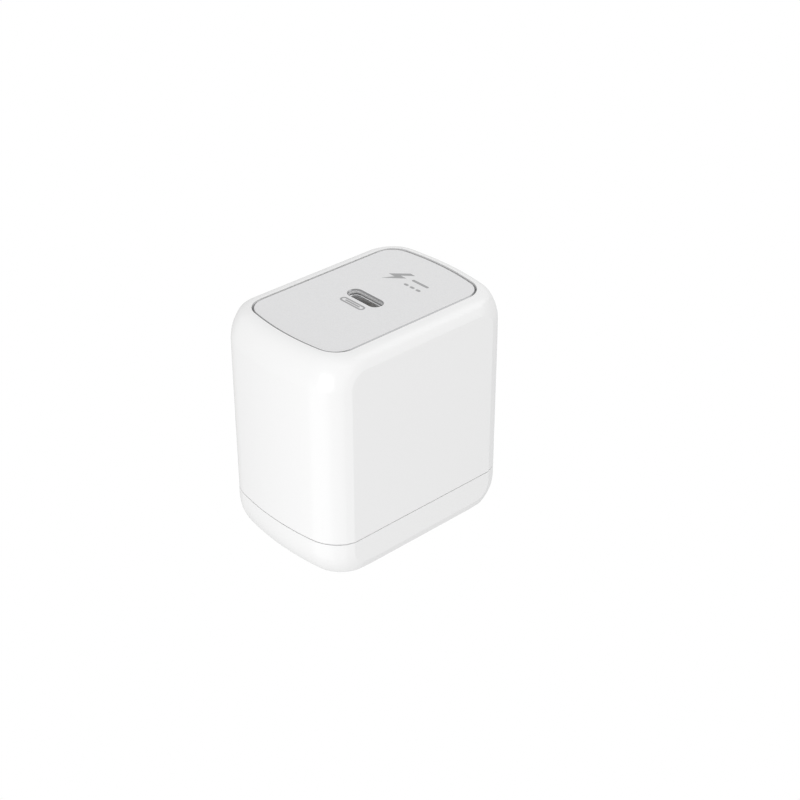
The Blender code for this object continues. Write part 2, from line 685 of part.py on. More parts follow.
def semiconductors():
    """Small moulded packages, on the front and the back of the boards."""
    front = BOARD_FRONT + GAP
    back = BOARD_BACK - GAP
    port_face = -PORT_SHELL[1]
    packages = {
        "bridge_rectifier": ((front, *mm(-3.4, 22.5)), mm(-9.0, 2.6, 29.5)),
        "optocoupler": ((front, *mm(-0.6, 32.0)), mm(-9.3, 4.0, 36.0)),
        "power_switch": (mm(-14.0, 6.0, 30.0), (back, *mm(12.0, 38.0))),
        "primary_controller": (mm(-14.0, -8.0, 24.0), (back, *mm(-4.0, 29.0))),
        "sync_rectifier": ((-8.0 * MM, port_face, 32 * MM), mm(-2.0, -0.6, 37.0)),
        "port_controller": ((0.0, port_face, 33 * MM), mm(4.0, -0.8, 37.0)),
    }
    for name, (low, high) in packages.items():
        coat(block(name, low, high, bevel=0.15 * MM), (0.02, 0.02, 0.022), 0.5)


def output_capacitors():
    """Polymer cans standing on the port board."""
    radius, length, x = mm(3.15, 9.0, 8.9)
    start = -PORT_SHELL[1]
    for i, z in enumerate(mm(34.6, 41.4)):
        obj = rod(f"output_capacitor_{i + 1}", (x, start, z), (x, start + length, z), radius, bevel=0.4 * MM)
        coat(obj, (0.7, 0.7, 0.72), 0.3, 1.0)


def sheets():
    """A heat spreader inside the +X wall and an insulating film behind the main board."""
    spreader = block("heat_spreader", mm(14.2, -17.0, 13.0), mm(14.7, 17.0, 44.0))
    coat(spreader, (0.7, 0.7, 0.7), 0.35, 1.0)
    film = block("insulating_film", mm(-14.6, -17.0, 12.0), mm(-14.3, 17.0, 44.0))
    coat(film, (0.85, 0.7, 0.3), 0.3)


def main():
    clear_scene()
    main_housing()
    base_cap()
    top_plate()
    port()
    folding_plug()
    carrier_retainer()
    contact_springs()
    input_leads()
    main_board()
    transformer()
    bulk_capacitors()
    common_mode_choke()
    filter_parts()
    semiconductors()
    output_capacitors()
    sheets()


main()
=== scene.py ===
import math
from collections import namedtuple

import bmesh
import bpy
import numpy as np
from mathutils import Matrix, Vector

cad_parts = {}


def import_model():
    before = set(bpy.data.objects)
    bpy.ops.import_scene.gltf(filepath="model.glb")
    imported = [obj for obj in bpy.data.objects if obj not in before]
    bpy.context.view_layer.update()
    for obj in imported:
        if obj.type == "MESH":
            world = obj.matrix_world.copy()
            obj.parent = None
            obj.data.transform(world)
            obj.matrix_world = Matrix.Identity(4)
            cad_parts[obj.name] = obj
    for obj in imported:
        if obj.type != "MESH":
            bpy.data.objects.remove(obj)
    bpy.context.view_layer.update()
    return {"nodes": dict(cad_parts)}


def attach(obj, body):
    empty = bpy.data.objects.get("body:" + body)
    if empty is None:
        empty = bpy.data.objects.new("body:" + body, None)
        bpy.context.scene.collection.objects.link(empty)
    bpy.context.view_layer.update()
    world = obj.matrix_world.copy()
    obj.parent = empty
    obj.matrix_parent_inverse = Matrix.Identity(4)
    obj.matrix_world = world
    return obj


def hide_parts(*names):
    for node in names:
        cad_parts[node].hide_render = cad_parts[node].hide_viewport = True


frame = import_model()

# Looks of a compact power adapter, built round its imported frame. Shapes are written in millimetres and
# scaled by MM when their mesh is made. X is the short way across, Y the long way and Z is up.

MM = 0.001
GAP = 0.3
ADAPTER, PLUG = "adapter_body", "folding_plug"

# Outer form, as in the frame
CROWN = 49.55  # the top's flat, nearly all of which the plate's recess takes away
HALF_WIDTH = 17.5
HALF_LENGTH = 24.8
END_BOW = 0.0082
CORNER = 8.2
SEAM = 8.88
WALL = 1.8
TOP_WALL = 1.8

# Flat side panels with a chamfer all round
PANEL_X = 17.0
PANEL_HALF_LENGTH = 18.3
PANEL_BOTTOM = 3.0
PANEL_TOP = 46.5
PANEL_CORNER = 3.5
CHAMFER_WIDTH = 1.6
CHAMFER_SLOPE = math.tan(math.radians(20.8))
CHAMFER_EDGE_X = PANEL_X - CHAMFER_SLOPE * CHAMFER_WIDTH

# Fillets into the top and the base: where they start from the flat in X, how far they reach and drop
# in Y, and the corner radius of that flat
SIDE_TILT = math.radians(28)  # the fillets' slope where the chamfer meets them
WIDE_ARC = (HALF_WIDTH - CHAMFER_EDGE_X) / (1 - math.cos(SIDE_TILT))
TOP_EDGE_X, TOP_REACH_Y, TOP_DROP_Y, TOP_CORNER = 11.7, 4.1, 7.7, 3.2
BASE_EDGE_X, BASE_REACH_Y, BASE_DROP_Y, BASE_CORNER = 12.3, 4.3, 6.7, 2.7

# Top plate, and the port's slot-shaped sections as half sizes
PLATE_HALF_WIDTH = 13.35
PLATE_HALF_LENGTH = 20.45
PLATE_CORNER = 4.7
PLATE_BOW = 0.00925
PLATE_TOP = 49.32
PLATE_THICKNESS = 0.8
PLATE_BASE = PLATE_TOP - PLATE_THICKNESS
PLATE_FIT = 0.15
RECESS_FLOOR = PLATE_BASE - GAP
PORT_OPENING = (4.17, 1.28)
PORT_SHELL = (4.47, 1.6)
PORT_BACK = RECESS_FLOOR - 7.1

# Folding plug: flat blades on a carrier that turns about X
HINGE_Y = 10.0
HINGE_Z = 3.9
BLADE_PITCH = 12.7
BLADE_XS = (-BLADE_PITCH / 2, BLADE_PITCH / 2)
BLADE_WIDTH = 6.35
BLADE_THICKNESS = 1.5
BLADE_REACH = 21.4
BLADE_SHOULDER = 3.9
SHANK_WIDTH = 3.4
TAIL_REACH = 5.0
CARRIER_RADIUS = 3.7
CARRIER_FLAT = 3.4
CARRIER_HALF_LENGTH = 9.6
STUB_RADIUS = 1.6
STUB_END = 11.6
RUNNING_FIT = 0.15

# Base cap
FLOOR = 1.8
FLOOR_MIDDLE = 1.0
LIP_TOP = 11.5
LIP_WALL = 1.2
BAY_TOP = 9.0
BAY_HALF = 5.6
INSIDE_TOP = 20.0  # clear of all that the cap holds
END_ROOM, TOP_ROOM = 0.9, 0.4
SLOT_HALF = BLADE_THICKNESS / 2 + GAP
SLOT_END = HINGE_Y - BLADE_REACH - END_ROOM
SLOT_TOP = HINGE_Z + BLADE_WIDTH / 2 + TOP_ROOM

# Fine edges that only the looks have
SEAM_GAP = 0.16
SEAM_RIM = 0.06
PLATE_RIM = 0.12
PANEL_EDGE = 0.1
CREASE_EDGE = 0.18
ROUND_MIDDLE = 0.293  # how far the middle of a quarter round lies in, as a part of its radius
STROKE = 0.42
INK_LOW, INK_HIGH = PLATE_TOP - 0.01, PLATE_TOP + 0.012

# Mesh density
SHELL_ROWS, ROW_SPREAD = 30, 1.35
SIDE_RAYS, SLANT_RAYS, FIRST_RAY = 6, 12, 0.3
ARC_STEPS, BOW_STEPS, SIDE_STEPS = 16, 6, 5
MITRE_LIMIT = 0.3
MERGE_DISTANCE = 0.0005
SHARP_ANGLE = math.radians(42)

# Stage, in metres but for the floor
CAMERA_AZIMUTH, CAMERA_ELEVATION = math.radians(47.488), math.radians(31.587)
CAMERA_LENS, CAMERA_SENSOR = 76.18, 36.0
CAMERA_PLACE = (0.2183, -0.1910, 0.2044)
AMBIENT_LOW, AMBIENT_HIGH = 0.7, 0.85
FLOOR_LEVEL = -20.0  # clear of the opened blades
FLOOR_HALF = 3000.0
LIGHT_TARGET = (0, 0, 0.025)
LIGHT_DISTANCE = 0.5
LIGHTS = {  # direction, size, power, and whether it lights matt surfaces or only adds a sheen
    "corner": ((0.45, -1.0, 0.0), 0.25, 0.9, True),
    "rear_top": ((0.3, 0.8, 1.0), 0.3, 0.3, True),
    "rear_right": ((1.0, 0.8, 0.5), 0.3, 0.15, True),
    "sheen_card": ((0.02, -0.88, -0.47), 0.42, 0.3, False),
}

Fillet = namedtuple("Fillet", "edge_x drop_x reach_y drop_y corner half_x half_z")
Rays = namedtuple("Rays", "y depth angle end_x")


# ---------------------------------------------------------------- outlines


def at_height(outline, z):
    return [(x, y, z) for x, y in outline]


def stack(outline, *levels):
    """Loops for a loft: outline(offset) at each height, for the levels (offset, height)."""
    return [at_height(outline(offset), z) for offset, z in levels]


def rectangle(x0, y0, x1, y1):
    return [(x0, y0), (x1, y0), (x1, y1), (x0, y1)]


def arc(centre, radius, start, end, steps):
    angles = [start + (end - start) * i / steps for i in range(steps + 1)]
    return [(centre[0] + radius * math.cos(a), centre[1] + radius * math.sin(a)) for a in angles]


def slot_outline(half_x, half_y, steps=16):
    """A slot shape: straight along X with round ends."""
    centre = half_x - half_y
    right = arc((centre, 0.0), half_y, -math.pi / 2, math.pi / 2, steps)
    return right + arc((-centre, 0.0), half_y, math.pi / 2, 3 * math.pi / 2, steps)


def grown_slot(section):
    """The outline of a slot-shaped section as a function of how far it is grown."""
    return lambda out: slot_outline(section[0] + out, section[1] + out)


def corner_start(width, corner, bow):
    """Where a bowed end turns into its corner: the x there, and the end's slope."""
    x = width
    for _ in range(20):
        slope = 2 * bow * x
        x = width - corner + corner * slope / np.hypot(slope, 1)
    return x, slope


def quarter_outline(half_width, half_length, corner, bow):
    """From the middle of the bowed end, round the corner, to the middle of the straight side."""
    x, slope = corner_start(half_width, corner, bow)
    centre = (half_width - corner, half_length - bow * x * x - corner / math.hypot(slope, 1))
    bow_xs = [x * i / BOW_STEPS for i in range(BOW_STEPS)]
    points = [(bow_x, half_length - bow * bow_x * bow_x) for bow_x in bow_xs]
    points += arc(centre, corner, math.atan2(1.0, slope), 0.0, ARC_STEPS)
    return points + [(half_width, centre[1] * (1 - i / SIDE_STEPS)) for i in range(1, SIDE_STEPS + 1)]


def full_outline(quarter):
    """The whole outline, anticlockwise from the middle of the +X side. Points may have a depth too."""
    upper = list(reversed(quarter)) + [(-x, y, *depth) for x, y, *depth in quarter[1:]]
    return upper + [(-x, -y, *depth) for x, y, *depth in upper[1:-1]]


def bowed_outline(half_width, half_length, corner, bow):
    return full_outline(quarter_outline(half_width, half_length, corner, bow))


def plate_outline(outset, outline=bowed_outline):
    return outline(PLATE_HALF_WIDTH + outset, PLATE_HALF_LENGTH + outset, PLATE_CORNER + outset, PLATE_BOW)


def inner_outline(inset):
    return bowed_outline(PANEL_X - inset, HALF_LENGTH - inset, CORNER - inset, END_BOW)


def inward(outline, inset):
    """A closed outline, moved in by inset with mitred corners."""
    points = np.array(outline)
    ahead = np.roll(points, -1, axis=0) - points
    normals = np.stack([ahead[:, 1], -ahead[:, 0]], axis=1)
    normals /= np.linalg.norm(normals, axis=1)[:, None]
    mitre = normals + np.roll(normals, 1, axis=0)
    mitre /= np.maximum((mitre * normals).sum(axis=1), MITRE_LIMIT)[:, None]
    return points - inset * mitre


# ---------------------------------------------------------------- meshes


def object_from(name, bm):
    """An object from a mesh in millimetres."""
    bmesh.ops.scale(bm, vec=(MM, MM, MM), verts=bm.verts)
    bmesh.ops.recalc_face_normals(bm, faces=bm.faces)
    mesh = bpy.data.meshes.new(name)
    bm.to_mesh(mesh)
    bm.free()
    obj = bpy.data.objects.new(name, mesh)
    bpy.context.scene.collection.objects.link(obj)
    return obj


def strip(bm, lower, upper, closed=True):
    """Quads between two rows of vertices."""
    count = len(lower)
    for i in range(count if closed else count - 1):
        j = (i + 1) % count
        bm.faces.new((lower[i], lower[j], upper[j], upper[i]))


def skin(bm, rings, both_ends=True):
    """Strips from ring to ring, with a face over the last ring and, for both ends, over the first."""
    for lower, upper in zip(rings, rings[1:]):
        strip(bm, lower, upper)
    if both_ends:
        bm.faces.new(reversed(rings[0]))
    bm.faces.new(rings[-1])


def add_loft(bm, loops):
    """A closed skin through loops that have the same number of points."""
    skin(bm, [[bm.verts.new(point) for point in loop] for loop in loops])


def loft(name, loops):
    bm = bmesh.new()
    add_loft(bm, loops)
    return object_from(name, bm)


def block(name, low, high):
    outline = rectangle(*low[:2], *high[:2])
    return loft(name, [at_height(outline, z) for z in (low[2], high[2])])


def rod_x(name, x0, x1, y, z, radius, steps=48):
    """A round bar along X."""
    circle = arc((y, z), radius, 0.0, 2 * math.pi, steps)[:-1]
    return loft(name, [[(x, *point) for point in circle] for x in (x0, x1)])


def bake(obj):
    """Turns the modifiers into mesh."""
    graph = bpy.context.evaluated_depsgraph_get()
    mesh = bpy.data.meshes.new_from_object(obj.evaluated_get(graph))
    obj.modifiers.clear()
    obj.data = mesh
    mesh.name = obj.name


def carve(obj, operation, *tools):
    """Booleans by tools, which are then removed."""
    for tool in tools:
        modifier = obj.modifiers.new(tool.name, "BOOLEAN")
        modifier.operation = operation
        modifier.solver = "EXACT"
        modifier.object = tool
    bake(obj)
    for tool in tools:
        bpy.data.objects.remove(tool)


def soften(obj, width, segments=2, least_angle=40.0, below=math.inf):
    """Rounds the sharp edges whose middle lies below a height."""
    bm = bmesh.new()
    bm.from_mesh(obj.data)
    sharp = math.radians(least_angle)
    edges = []
    for edge in bm.edges:
        height = (edge.verts[0].co.z + edge.verts[1].co.z) / (2 * MM)
        if edge.is_manifold and edge.calc_face_angle() > sharp and height < below:
            edges.append(edge)
    bmesh.ops.bevel(
        bm, geom=edges, offset=width * MM, segments=segments, profile=0.5, affect="EDGES", clamp_overlap=False
    )
    bm.to_mesh(obj.data)
    bm.free()
    return obj


def shade(obj):
    """Smooth shading that keeps flat faces flat."""
    obj.data.shade_smooth()
    obj.data.set_sharp_from_angle(angle=SHARP_ANGLE)
    modifier = obj.modifiers.new("normals", "WEIGHTED_NORMAL")
    modifier.keep_sharp = True
    modifier.weight = 60
    bake(obj)
    return obj


# ---------------------------------------------------------------- the body's surface


def fillet(edge_x, drop_x, reach_y, drop_y, corner):
    """How the body closes in: an ellipse from the flat that has turned to SIDE_TILT at the chamfer's edge."""
    reach = CHAMFER_EDGE_X - edge_x
    ratio = math.tan(SIDE_TILT) * drop_x / reach
    sine = ratio / (1 - ratio)
    half_x = reach / math.sqrt(1 - sine * sine)
    return Fillet(edge_x, drop_x, reach_y, drop_y, corner, half_x, drop_x / (1 - sine))


TOP_FILLET = fillet(TOP_EDGE_X, CROWN - PANEL_TOP - CHAMFER_WIDTH, TOP_REACH_Y, TOP_DROP_Y, TOP_CORNER)
BASE_FILLET = fillet(BASE_EDGE_X, PANEL_BOTTOM - CHAMFER_WIDTH, BASE_REACH_Y, BASE_DROP_Y, BASE_CORNER)


def body_half_width(depth, shape):
    fall = np.clip(1 - depth / shape.half_z, 0, 1)
    ellipse = shape.edge_x + shape.half_x * np.sqrt(1 - fall**2)
    sine = np.clip(math.sin(SIDE_TILT) - (depth - shape.drop_x) / WIDE_ARC, 0, 1)
    wide = HALF_WIDTH - WIDE_ARC * (1 - np.sqrt(1 - sine**2))
    return np.where(depth < shape.drop_x, ellipse, wide)


def outside(x, y, depth, shape):
    """Whether points lie outside the body; depth is measured down from the crown or up from the base."""
    rise = 1 - np.clip(depth / shape.drop_y, 0, 1)
    inset = 1 - np.sqrt(1 - rise**2)
    width = body_half_width(depth, shape)
    length = HALF_LENGTH - shape.reach_y * inset
    corner = CORNER + (shape.corner - CORNER) * inset**2
    turn, slope = corner_start(width, corner, END_BOW)
    middle = length - END_BOW * turn**2 - corner / np.hypot(slope, 1)
    past_corner = (y > middle) & (np.hypot(x - (width - corner), y - middle) > corner)
    past_end = y > length - END_BOW * x**2
    return (depth < 0) | (x > width) | np.where(x > turn, past_corner, past_end)


def find(low, high, is_out):
    """Bisects between values that are inside (low) and outside (high)."""
    for _ in range(48):
        middle = (low + high) / 2
        out = is_out(middle)
        low, high = np.where(out, low, middle), np.where(out, middle, high)
    return (low + high) / 2


def on_body(outline, shape):
    """The body's points (x, y, depth) over an outline."""
    x, y = np.array(outline).T
    well_inside, well_outside = np.full_like(x, 12.0), np.full_like(x, -1.0)
    depth = find(well_inside, well_outside, lambda depth: outside(x, y, depth, shape))
    return np.stack([x, y, depth], axis=1)


# ---------------------------------------------------------------- outer shells


def shell_rays(panel_depth, rim_depth, close):
    """Rays in the YZ plane for the +X +Y quarter, which end on the closing points.

    They start level down the side from the seam's rim, then fan out from the panel's rounded corner, and
    last stand on the line that runs on from that corner.
    """
    anchor_depth = panel_depth + PANEL_CORNER
    corner_y = PANEL_HALF_LENGTH - PANEL_CORNER
    close_x, close_y, close_depth = close.T
    sides = [rim_depth, *np.linspace(rim_depth - FIRST_RAY, anchor_depth, SIDE_RAYS)[:-1]]
    steepest = math.atan2(anchor_depth - close_depth[0], close_y[0] - corner_y)
    slants = np.linspace(0.0, steepest, SLANT_RAYS)[:-1]
    close_anchor = np.minimum(close_y, corner_y)
    close_angle = np.arctan2(anchor_depth - close_depth, close_y - close_anchor)
    fanned = len(sides) + len(slants)
    return Rays(
        y=np.concatenate([np.full(fanned, corner_y), close_anchor]),
        depth=np.concatenate([sides, np.full(len(slants) + len(close), anchor_depth)]),
        angle=np.concatenate([np.zeros(len(sides)), slants, close_angle]),
        end_x=np.concatenate([np.zeros(fanned), close_x]),
    )


def along(rays, x, reach):
    """Where the rays are after a reach, at x."""
    return x + 0 * reach, rays.y + reach * np.cos(rays.angle), rays.depth - reach * np.sin(rays.angle)


def chamfer_x(reach):
    return PANEL_X - CHAMFER_SLOPE * (reach - PANEL_CORNER)


def shell_rows(rays, shape):
    """Rows of points (x, y, depth): the panel's edge, the chamfer, and on over the body's surface."""
    zero = np.zeros_like(rays.y)
    chamfer_limit, surface_limit = 6, 20
    crease = find(zero + PANEL_CORNER, zero + PANEL_CORNER + chamfer_limit,
                  lambda reach: outside(*along(rays, chamfer_x(reach), reach), shape))
    rows = [along(rays, PANEL_X + zero, zero + PANEL_CORNER - PANEL_EDGE)]
    for reach in (PANEL_CORNER + PANEL_EDGE, (PANEL_CORNER + crease) / 2, crease - CREASE_EDGE, crease):
        rows.append(along(rays, chamfer_x(reach), reach + zero))
    crease_x = chamfer_x(crease)
    for i in range(1, SHELL_ROWS + 1):
        x = crease_x + (rays.end_x - crease_x) * (i / SHELL_ROWS) ** ROW_SPREAD
        reach = find(zero, zero + surface_limit, lambda reach: outside(*along(rays, x, reach), shape))
        rows.append(along(rays, x, reach))
    return [np.stack(row, axis=1) for row in rows]


def add_sides(bm, ring, rows):
    """The +X side with its panel and both ends, and its mirror image."""
    whole = [np.concatenate([row * (1, -1, 1), row[::-1][1:]]) for row in rows]
    for side in (1, -1):
        grid = [ring(row * (side, 1, 1)) for row in whole]
        bm.faces.new(grid[0])
        for lower, upper in zip(grid, grid[1:]):
            strip(bm, lower, upper, closed=False)


def add_seam_face(bm, ring, rows, seam_depth):
    """The seam's rounded rim and flat, from the +X half's -Y end to its +Y end, then the -X half back."""
    right = [row[0] * (1, -1, 1) for row in rows[::-1]] + [row[0] for row in rows]
    left = [point * (-1, 1, 1) for point in right[::-1]]
    outline = np.array(right[:-1] + left[:-1])[:, :2]
    middle = ROUND_MIDDLE * SEAM_RIM
    rings = []
    for inset, rise in ((0.0, SEAM_RIM), (middle, middle), (SEAM_RIM, 0.0)):
        rings.append(ring([(x, y, seam_depth - rise) for x, y in inward(outline, inset)]))
    skin(bm, rings, both_ends=False)


def add_recess(bm, ring, mouth, recess_depth):
    """The rounded edge round the plate, and the recess's wall and floor."""
    middle = ROUND_MIDDLE * PLATE_RIM
    depths = [depth for _, _, depth in mouth]
    steps = (
        (middle, [depth + middle for depth in depths]),
        (0.0, [depth + PLATE_RIM for depth in depths]),
        (0.0, [recess_depth] * len(depths)),
    )
    rings = [ring(mouth)]
    for outset, levels in steps:
        outline = plate_outline(PLATE_FIT + outset)
        rings.append(ring([(x, y, level) for (x, y), level in zip(outline, levels)]))
    skin(bm, rings, both_ends=False)


def shell_form(name, shape, panel_depth, seam_depth, closing, to_z, recess_depth=None):
    """A closed solid from the seam to the top or the base. to_z turns a depth into a height."""
    close = on_body(closing, shape)
    rows = shell_rows(shell_rays(panel_depth, seam_depth - SEAM_RIM, close), shape)
    bm = bmesh.new()

    def ring(points):
        return [bm.verts.new((x, y, to_z(depth))) for x, y, depth in points]

    add_sides(bm, ring, rows)
    add_seam_face(bm, ring, rows, seam_depth)
    if recess_depth is None:
        bm.faces.new(ring(full_outline(close)))
    else:
        add_recess(bm, ring, full_outline(close), recess_depth)
    bmesh.ops.remove_doubles(bm, verts=bm.verts, dist=MERGE_DISTANCE)
    return object_from(name, bm)


def housing():
    closing = plate_outline(PLATE_FIT + PLATE_RIM, quarter_outline)
    seam_depth = CROWN - SEAM - SEAM_GAP / 2
    obj = shell_form(
        "housing_shell", TOP_FILLET, CROWN - PANEL_TOP, seam_depth, closing,
        to_z=lambda depth: CROWN - depth, recess_depth=CROWN - RECESS_FLOOR,
    )
    # the hollow closes in under the ceiling, and the hole for the port's shell goes through the top wall
    ceiling = RECESS_FLOOR - TOP_WALL
    levels = ((WALL, 0.0), (WALL, ceiling - 2.0), (WALL + 0.3, ceiling - 0.7), (WALL + 1.0, ceiling))
    hollow = loft("hollow", stack(inner_outline, *levels))
    hole = loft("hole", stack(grown_slot(PORT_SHELL), (GAP, ceiling - 2.0), (GAP, RECESS_FLOOR + 2.0)))
    carve(obj, "DIFFERENCE", hollow, hole)
    finish_piece(shade(obj), ADAPTER, "white_shell", "main_housing")


def cap():
    closing = quarter_outline(BASE_EDGE_X, HALF_LENGTH - BASE_REACH_Y, BASE_CORNER, END_BOW)
    seam_depth = SEAM - SEAM_GAP / 2
    obj = shell_form("cap_shell", BASE_FILLET, PANEL_BOTTOM, seam_depth, closing, to_z=lambda depth: depth)
    lip, hollow, lip_root = WALL + GAP, WALL + GAP + LIP_WALL, 4.0
    carve(obj, "UNION", loft("lip", stack(inner_outline, (lip, lip_root), (lip, LIP_TOP))))
    carve(obj, "DIFFERENCE", loft("hollow", stack(inner_outline, (hollow, FLOOR), (hollow, INSIDE_TOP))))
    add_cap_walls(obj)
    cut_cap_bay(obj)
    soften(obj, 0.15, least_angle=25, below=0.001)
    finish_piece(shade(obj), ADAPTER, "white_shell", "base_cap")


def add_cap_walls(obj):
    """Walls round the carrier, wells over the folded blades and a thick floor under the finger scoop."""
    bay_x, overlap = 12.2, 1.0
    walls = [
        block("bay", (-bay_x, HINGE_Y - BAY_HALF, FLOOR_MIDDLE), (bay_x, HINGE_Y + BAY_HALF, BAY_TOP)),
        block("scoop_floor", (-10.7, -18.6, FLOOR_MIDDLE), (10.7, -6.4, 4.0)),
    ]
    well_half = SLOT_HALF + LIP_WALL
    for x in BLADE_XS:
        low = (x - well_half, SLOT_END - LIP_WALL, FLOOR_MIDDLE)
        high = (x + well_half, HINGE_Y - BAY_HALF + overlap, SLOT_TOP + LIP_WALL)
        walls.append(block("well", low, high))
    carve(obj, "UNION", *walls)


def cut_cap_bay(obj):
    """The carrier's pocket and saddles, the blades' slots and the finger scoop."""
    pocket_x, pocket_y = CARRIER_HALF_LENGTH + GAP, CARRIER_RADIUS + TOP_ROOM
    saddle, saddle_x = STUB_RADIUS + RUNNING_FIT, 12.6
    below, tail_room = -1.0, 7.0
    saddle_low, saddle_high = (-saddle_x, HINGE_Y - saddle, HINGE_Z), (saddle_x, HINGE_Y + saddle, INSIDE_TOP)
    holes = [
        block("pocket", (-pocket_x, HINGE_Y - pocket_y, below), (pocket_x, HINGE_Y + pocket_y, INSIDE_TOP)),
        block("saddle_slot", saddle_low, saddle_high),
        rod_x("saddle_round", -saddle_x, saddle_x, HINGE_Y, HINGE_Z, saddle),
        rod_x("scoop", -9.5, 9.5, -12.5, -3.6, 6.0, steps=128),
    ]
    for x in BLADE_XS:
        low, high = x - SLOT_HALF, x + SLOT_HALF
        holes.append(block("blade_slot", (low, SLOT_END, below), (high, HINGE_Y, SLOT_TOP)))
        holes.append(block("tail_slot", (low, HINGE_Y, FLOOR), (high, HINGE_Y + tail_room, INSIDE_TOP)))
    carve(obj, "DIFFERENCE", *holes)


# ---------------------------------------------------------------- plate and port


def plate():
    """The inlaid plate, its bevelled border and the bevelled mouth over the port."""
    top, edge, foot, shoulder = PLATE_TOP, PLATE_TOP - 0.3, PLATE_TOP - 0.24, PLATE_TOP - 0.03
    border = ((0.0, PLATE_BASE), (0.0, edge), (-0.03, foot), (-0.26, shoulder), (-0.32, top))
    obj = loft("plate_inlay", stack(plate_outline, *border))
    mouth = (
        (0.12, PLATE_BASE - 1), (0.12, foot), (0.14, top - 0.2), (0.34, shoulder), (0.4, top), (1.4, top + 1)
    )
    carve(obj, "DIFFERENCE", loft("mouth", stack(grown_slot(PORT_OPENING), *mouth)))
    obj.data.materials.clear()
    obj.data.materials.append(material("grey_plate"))
    obj.data.materials.append(material("plate_border"))
    border_low, border_high = top - 0.29, top - 0.001
    for face in obj.data.polygons:
        face.material_index = int(border_low < face.center.z / MM < border_high)
    join_frame(shade(obj), ADAPTER, "top_plate")


def port():
    """The receptacle's drawn shell."""
    mouth, rim = RECESS_FLOOR, 0.08
    middle = 0.3 * rim
    outer = ((0.0, PORT_BACK), (0.0, mouth - rim), (-middle, mouth - middle), (-rim, mouth))
    obj = loft("port_can", stack(grown_slot(PORT_SHELL), *outer))
    bore = ((0.0, PORT_BACK - 1), (0.0, mouth - rim), (rim, mouth), (rim, mouth + 1))
    carve(obj, "DIFFERENCE", loft("bore", stack(grown_slot(PORT_OPENING), *bore)))
    finish_piece(shade(obj), ADAPTER, "stainless_shell", "port_shell")


def tongue():
    """The plug that fills the back of the port, its tongue and the contacts on the tongue."""
    fit, plug_top, overlap = 0.17, PORT_BACK + 1.6, 0.5
    plug = stack(grown_slot(PORT_OPENING), (-fit, PORT_BACK), (-fit, plug_top))
    obj = loft("port_tongue_moulding", plug)
    half_x, half_y, tip = 3.35, 0.35, RECESS_FLOOR - 0.6
    carve(obj, "UNION", block("blade", (-half_x, -half_y, plug_top - overlap), (half_x, half_y, tip)))
    soften(obj, 0.08)
    finish_piece(shade(obj), ADAPTER, "black_moulding", "port_tongue")
    contacts(half_y, plug_top, tip - 0.25)


def contacts(face, low, high):
    """Gold-plated strips on both faces of the tongue."""
    count, pitch, half_width, sunk, proud = 12, 0.5, 0.13, 0.05, 0.03
    bm = bmesh.new()
    for i in range(count):
        x = (i - (count - 1) / 2) * pitch
        for side in (-1, 1):
            y0, y1 = sorted((side * (face - sunk), side * (face + proud)))
            outline = rectangle(x - half_width, y0, x + half_width, y1)
            add_loft(bm, [at_height(outline, z) for z in (low, high)])
    obj = soften(object_from("port_contacts", bm), 0.01, segments=1)
    obj.data.materials.append(material("contact_gold"))
    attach(obj, ADAPTER)


# ---------------------------------------------------------------- folding plug


def blade(x, name):
    """A flat blade with a chamfered tip, a narrower shank in the carrier and a tail behind it."""
    shank, wide, tip = SHANK_WIDTH / 2, BLADE_WIDTH / 2, 1.5
    corners = [
        (TAIL_REACH, -shank), (TAIL_REACH, shank), (-BLADE_SHOULDER, shank), (-BLADE_SHOULDER, wide),
        (tip - BLADE_REACH, wide), (-BLADE_REACH, wide - tip), (-BLADE_REACH, tip - wide),
        (tip - BLADE_REACH, -wide), (-BLADE_SHOULDER, -wide), (-BLADE_SHOULDER, -shank),
    ]
    half = BLADE_THICKNESS / 2
    loops = [[(x + edge, HINGE_Y + y, HINGE_Z + z) for y, z in corners] for edge in (-half, half)]
    obj = soften(loft("prong_" + name, loops), 0.2, segments=3, least_angle=30)
    finish_piece(shade(obj), PLUG, "plated_blade", "blade_" + name)


def carrier():
    """The moulding that holds the blades, with a stub at each end and a flat for each end of its turn."""
    end = CARRIER_HALF_LENGTH
    obj = rod_x("carrier_moulding", -end, end, HINGE_Y, HINGE_Z, CARRIER_RADIUS, steps=96)
    stub_root = end - 1
    ends = ((-STUB_END, -stub_root), (stub_root, STUB_END))
    carve(obj, "UNION", *(rod_x("stub", *xs, HINGE_Y, HINGE_Z, STUB_RADIUS) for xs in ends))
    far = 15.0
    low_y, high_y, low_z, high_z = HINGE_Y - far, HINGE_Y + far, HINGE_Z - far, HINGE_Z + far
    cuts = [
        block("flat_folded", (-far, low_y, low_z), (far, high_y, HINGE_Z - CARRIER_FLAT)),
        block("flat_open", (-far, low_y, low_z), (far, HINGE_Y - CARRIER_FLAT, high_z)),
    ]
    fit, height = BLADE_THICKNESS / 2 + RUNNING_FIT, SHANK_WIDTH / 2 + RUNNING_FIT
    for x in BLADE_XS:
        hole_low, hole_high = (x - fit, low_y, HINGE_Z - height), (x + fit, high_y, HINGE_Z + height)
        cuts.append(block("shank_hole", hole_low, hole_high))
    carve(obj, "DIFFERENCE", *cuts)
    soften(obj, 0.12, least_angle=35)
    finish_piece(shade(obj), PLUG, "carrier_plastic", "blade_carrier")


# ---------------------------------------------------------------- printed marks


